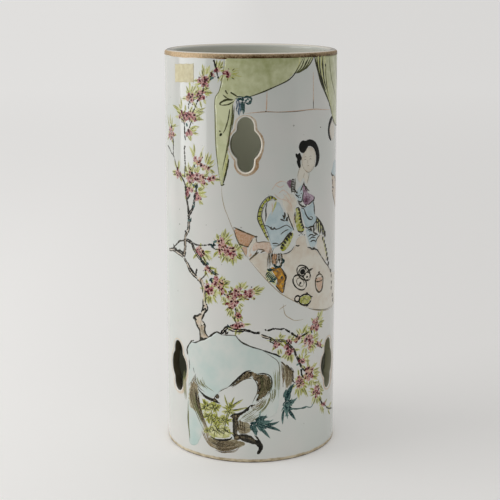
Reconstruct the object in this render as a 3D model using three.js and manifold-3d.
// A porcelain hat stand: an open cylinder about as tall as a forearm, made to hold a hat on its rim.
// The wall is one pierced porcelain tube. A base disc is luted into it above the foot, and the painted
// lines round the lip and the openings are separate, separately fired coats. A blank paper label is stuck
// near the rim. Millimetres, +Z up, origin at the middle of the foot, front towards -Y.

import * as THREE from "three";
import Module from "manifold-3d";
import { mergeVertices } from "three/addons/utils/BufferGeometryUtils.js";

const wasm = await Module();
wasm.setup();

// Overall sizes
const height = 282;
const rimRadius = 60;
const footSpread = 1;
const wallThickness = 5.6;

// Lip and foot
const lipRounding = 2.2;
const footBevel = 1.2;
const footRingWidth = 7.6;
const footRecess = 8;

// Base disc
const baseThickness = 5.5;
const coveRadius = 4.5;
const coveTip = 0.6;
const luteGap = 0.3;

// Lobed openings, sized on the outer face
const openingWidth = 21;
const openingHeight = 38.4;
const lobeWidth = 12.4;
const sideLobeHeight = 22;
const lobeCapShare = 0.73;
const arrisRounding = 0.8;
const upperRowDrop = 58.2;
const lowerRowHeight = 62;
// Turns of the openings from the front, in degrees. The two lower ones at the front were cut a little wide apart.
const upperRowTurns = [-3.4, 116.6, 236.6];
const lowerRowTurns = [65.1, 183.5, 301.9];

// Painted lines and label
const coatGap = 0.3;
const coatThickness = 0.35;
const rimLineWidth = 2.8;
const openingLineInset = 0.5;
const openingLineWidth = 1.6;
const labelWidth = 20;
const labelHeight = 12;
const labelAzimuth = THREE.MathUtils.degToRad(-48.5);
const labelDrop = 13.4;
const labelSkew = 1.2;

// Mesh fineness and cutting allowance
const turnSegments = 72;
const roundingSteps = 4;
const sideLobeSteps = 6;
const lobeCapSteps = 5;
const arrisSteps = 2;
const labelSteps = 10;
const cutOverrun = 4;

const porcelain = new THREE.MeshStandardMaterial({ color: 0xdfe4e0, roughness: 0.12, metalness: 0 });
const bareBase = new THREE.MeshStandardMaterial({ color: 0xd9d8cf, roughness: 0.35, metalness: 0 });
const ironRedLine = new THREE.MeshStandardMaterial({ color: 0xa9825f, roughness: 0.35, metalness: 0.1 });
const paleGiltLine = new THREE.MeshStandardMaterial({ color: 0xcdb6a0, roughness: 0.35, metalness: 0.1 });
const oldPaper = new THREE.MeshStandardMaterial({ color: 0xd8cfaa, roughness: 0.8, metalness: 0 });

// The wall spreads a little from the rim to the foot.
function outerRadius(z) {
  return rimRadius + footSpread * (1 - z / height);
}

function innerRadius(z) {
  return outerRadius(z) - wallThickness;
}

// Points of an arc in a lathe profile, from one angle to another.
function profileArc(centreR, centreZ, radius, fromAngle, toAngle) {
  const points = [];
  for (let i = 0; i <= roundingSteps; i += 1) {
    const angle = fromAngle + ((toAngle - fromAngle) * i) / roundingSteps;
    points.push(new THREE.Vector2(centreR + radius * Math.cos(angle), centreZ + radius * Math.sin(angle)));
  }
  return points;
}

// Turns a profile of (radius, height) points round the Z axis. The profile starts and ends on the axis, or
// comes back to its first point.
function turned(profile) {
  const geometry = new THREE.LatheGeometry(profile, turnSegments);
  geometry.rotateX(Math.PI / 2);
  return closedMesh(geometry);
}

function looped(points) {
  return [...points, points[0]];
}

// Merges shared corners, drops triangles that have no area and turns the faces outwards.
function closedMesh(geometry) {
  geometry.deleteAttribute("normal");
  geometry.deleteAttribute("uv");
  const merged = mergeVertices(geometry);
  const position = merged.getAttribute("position");
  const kept = [];
  let volume = 0;
  const [a, b, c] = [new THREE.Vector3(), new THREE.Vector3(), new THREE.Vector3()];
  for (let i = 0; i < merged.index.count; i += 3) {
    const corners = [merged.index.getX(i), merged.index.getX(i + 1), merged.index.getX(i + 2)];
    if (new Set(corners).size < corners.length) continue;
    a.fromBufferAttribute(position, corners[0]);
    b.fromBufferAttribute(position, corners[1]);
    c.fromBufferAttribute(position, corners[2]);
    volume += a.dot(b.cross(c));
    kept.push(...corners);
  }
  merged.setIndex(volume < 0 ? kept.reverse() : kept);
  return merged;
}

function toSolid(geometry) {
  return new wasm.Manifold(
    new wasm.Mesh({
      numProp: 3,
      vertProperties: Float32Array.from(geometry.getAttribute("position").array),
      triVerts: Uint32Array.from(geometry.index.array),
    }),
  );
}

function toGeometry(solid) {
  const mesh = solid.getMesh();
  const geometry = new THREE.BufferGeometry();
  geometry.setAttribute("position", new THREE.BufferAttribute(mesh.vertProperties, 3));
  geometry.setIndex(new THREE.BufferAttribute(mesh.triVerts, 1));
  return geometry;
}

// Lofts stations of (u, v, depth) points onto the wall: u runs round it, v up it from centreHeight, and
// depth stands out of its face. A looped loft joins its last station to its first; any other is capped
// with the triangles of capOutline.
function wrappedLoft(azimuth, centreHeight, stations, capOutline) {
  const isLooped = capOutline === undefined;
  const positions = [];
  const index = [];
  for (const station of stations) {
    for (const { x: u, y: v, z: depth } of station) {
      const z = centreHeight + v;
      const radius = outerRadius(z);
      const angle = azimuth + u / radius;
      positions.push((radius + depth) * Math.sin(angle), -(radius + depth) * Math.cos(angle), z);
    }
  }
  const count = stations[0].length;
  const spans = isLooped ? stations.length : stations.length - 1;
  for (let s = 0; s < spans; s += 1) {
    const next = (s + 1) % stations.length;
    for (let i = 0; i < count; i += 1) {
      const j = (i + 1) % count;
      index.push(s * count + i, s * count + j, next * count + j);
      index.push(s * count + i, next * count + j, next * count + i);
    }
  }
  if (!isLooped) {
    const last = (stations.length - 1) * count;
    for (const [p, q, r] of THREE.ShapeUtils.triangulateShape(capOutline, [])) {
      index.push(r, q, p);
      index.push(last + p, last + q, last + r);
    }
  }
  const geometry = new THREE.BufferGeometry();
  geometry.setAttribute("position", new THREE.Float32BufferAttribute(positions, 3));
  geometry.setIndex(index);
  return closedMesh(geometry);
}

// The begonia-flower outline of an opening, grown outwards by a margin. An upright lobe with rounded ends
// crosses a wide ellipse, and they meet in four notches.
function openingOutline(margin) {
  const sideReach = openingWidth / 2 + margin;
  const sideRise = sideLobeHeight / 2 + margin;
  const lobeReach = lobeWidth / 2 + margin;
  const top = openingHeight / 2 + margin;
  const notchAngle = Math.acos(lobeReach / sideReach);
  const notchHeight = sideRise * Math.sin(notchAngle);
  const cap = (top - notchHeight) * lobeCapShare;
  const quarter = [];
  for (let i = 0; i <= sideLobeSteps; i += 1) {
    const angle = (notchAngle * i) / sideLobeSteps;
    quarter.push(new THREE.Vector2(sideReach * Math.cos(angle), sideRise * Math.sin(angle)));
  }
  for (let i = 0; i <= lobeCapSteps; i += 1) {
    const angle = ((Math.PI / 2) * i) / lobeCapSteps;
    quarter.push(new THREE.Vector2(lobeReach * Math.cos(angle), top - cap + cap * Math.sin(angle)));
  }
  const half = [...quarter, ...quarter.slice(0, -1).reverse().map((p) => new THREE.Vector2(-p.x, p.y))];
  return [...half, ...half.slice(1, -1).reverse().map((p) => new THREE.Vector2(p.x, -p.y))];
}

function atDepth(outline, depth) {
  return outline.map((p) => new THREE.Vector3(p.x, p.y, depth));
}

// The knife cut of one opening, with both of its arrises rounded as the glaze softens them.
function openingCutter(azimuth, centreHeight) {
  const stations = [atDepth(openingOutline(arrisRounding), -wallThickness - cutOverrun)];
  for (let i = 0; i <= arrisSteps; i += 1) {
    const angle = ((Math.PI / 2) * i) / arrisSteps;
    const growth = arrisRounding * (1 - Math.sin(angle));
    const depth = -wallThickness + arrisRounding * (1 - Math.cos(angle));
    stations.push(atDepth(openingOutline(growth), depth));
  }
  for (let i = arrisSteps; i >= 0; i -= 1) {
    const angle = ((Math.PI / 2) * i) / arrisSteps;
    const growth = arrisRounding * (1 - Math.sin(angle));
    const depth = -arrisRounding * (1 - Math.cos(angle));
    stations.push(atDepth(openingOutline(growth), depth));
  }
  stations.push(atDepth(openingOutline(arrisRounding), cutOverrun));
  return wrappedLoft(azimuth, centreHeight, stations, openingOutline(0));
}

// The painted line that frames one opening, just outside its rounded arris.
function openingLine(azimuth, centreHeight) {
  const inner = openingOutline(arrisRounding + openingLineInset);
  const outer = openingOutline(arrisRounding + openingLineInset + openingLineWidth);
  return wrappedLoft(azimuth, centreHeight, [
    atDepth(outer, coatGap),
    atDepth(outer, coatGap + coatThickness),
    atDepth(inner, coatGap + coatThickness),
    atDepth(inner, coatGap),
  ]);
}

// The painted line on the outside of the lip. It starts below the rounding and runs halfway over it.
function rimLine() {
  const lipCentreZ = height - lipRounding;
  const lipCentreR = outerRadius(lipCentreZ) - lipRounding;
  const bottomZ = height - rimLineWidth;
  const coatEdge = (depth, from, to) => profileArc(lipCentreR, lipCentreZ, lipRounding + depth, from, to);
  return turned(
    looped([
      new THREE.Vector2(outerRadius(bottomZ) + coatGap, bottomZ),
      new THREE.Vector2(outerRadius(bottomZ) + coatGap + coatThickness, bottomZ),
      ...coatEdge(coatGap + coatThickness, 0, Math.PI / 4),
      ...coatEdge(coatGap, Math.PI / 4, 0),
    ]),
  );
}

// The tube with its rounded lip, bevelled foot and the inner ledge that the base disc sits on.
function wallBlank() {
  const lipZ = height - lipRounding;
  const footRadius = outerRadius(0);
  const footInner = footRadius - footRingWidth;
  return turned(
    looped([
      new THREE.Vector2(footRadius - footBevel, 0),
      new THREE.Vector2(outerRadius(footBevel), footBevel),
      ...profileArc(outerRadius(lipZ) - lipRounding, lipZ, lipRounding, 0, Math.PI / 2),
      ...profileArc(innerRadius(lipZ) + lipRounding, lipZ, lipRounding, Math.PI / 2, Math.PI),
      new THREE.Vector2(innerRadius(footRecess), footRecess),
      new THREE.Vector2(footInner, footRecess),
      new THREE.Vector2(footInner, footBevel),
      new THREE.Vector2(footInner + footBevel, 0),
    ]),
  );
}

// The slab that closes the tube. Its upper edge runs up the wall in a cove, where soft clay was pressed in.
function baseDisc() {
  const topZ = footRecess + baseThickness;
  const coveZ = topZ + coveRadius;
  const edge = innerRadius(coveZ) - luteGap;
  return turned([
    new THREE.Vector2(0, footRecess),
    new THREE.Vector2(edge, footRecess),
    new THREE.Vector2(edge, coveZ),
    ...profileArc(edge - coveTip - coveRadius, coveZ, coveRadius, 0, -Math.PI / 2),
    new THREE.Vector2(0, topZ),
  ]);
}

// The blank paper label, as a thin strip bent round the wall and stuck on slightly askew.
function paperLabel() {
  const section = [
    [-labelHeight / 2, coatGap],
    [labelHeight / 2, coatGap],
    [labelHeight / 2, coatGap + coatThickness],
    [-labelHeight / 2, coatGap + coatThickness],
  ];
  const stations = [];
  for (let i = 0; i <= labelSteps; i += 1) {
    const along = i / labelSteps - 1 / 2;
    stations.push(
      section.map(([v, depth]) => new THREE.Vector3(labelWidth * along, v + labelSkew * along, depth)),
    );
  }
  const capOutline = section.map(([v, depth]) => new THREE.Vector2(v, depth));
  return wrappedLoft(labelAzimuth, height - labelDrop, stations, capOutline);
}

// The upper row has its openings at equal turns, and the lower row stands between them.
const rows = [
  { names: ["upper_front", "upper_right", "upper_left"], centre: height - upperRowDrop, turns: upperRowTurns },
  { names: ["lower_right", "lower_rear", "lower_left"], centre: lowerRowHeight, turns: lowerRowTurns },
];
const openings = rows.flatMap(({ names, centre, turns }) =>
  names.map((name, i) => ({ name, centre, azimuth: THREE.MathUtils.degToRad(turns[i]) })),
);

const stand = new THREE.Group();

function addPiece(name, geometry, material) {
  const mesh = new THREE.Mesh(geometry, material);
  mesh.name = name;
  stand.add(mesh);
}

let wall = toSolid(wallBlank());
for (const { azimuth, centre } of openings) {
  wall = wall.subtract(toSolid(openingCutter(azimuth, centre)));
}
addPiece("wall", toGeometry(wall), porcelain);
addPiece("base_disc", baseDisc(), bareBase);
addPiece("rim_line", rimLine(), ironRedLine);
for (const { name, azimuth, centre } of openings) {
  addPiece(`${name}_opening_line`, openingLine(azimuth, centre), paleGiltLine);
}
addPiece("paper_label", paperLabel(), oldPaper);

export default stand;
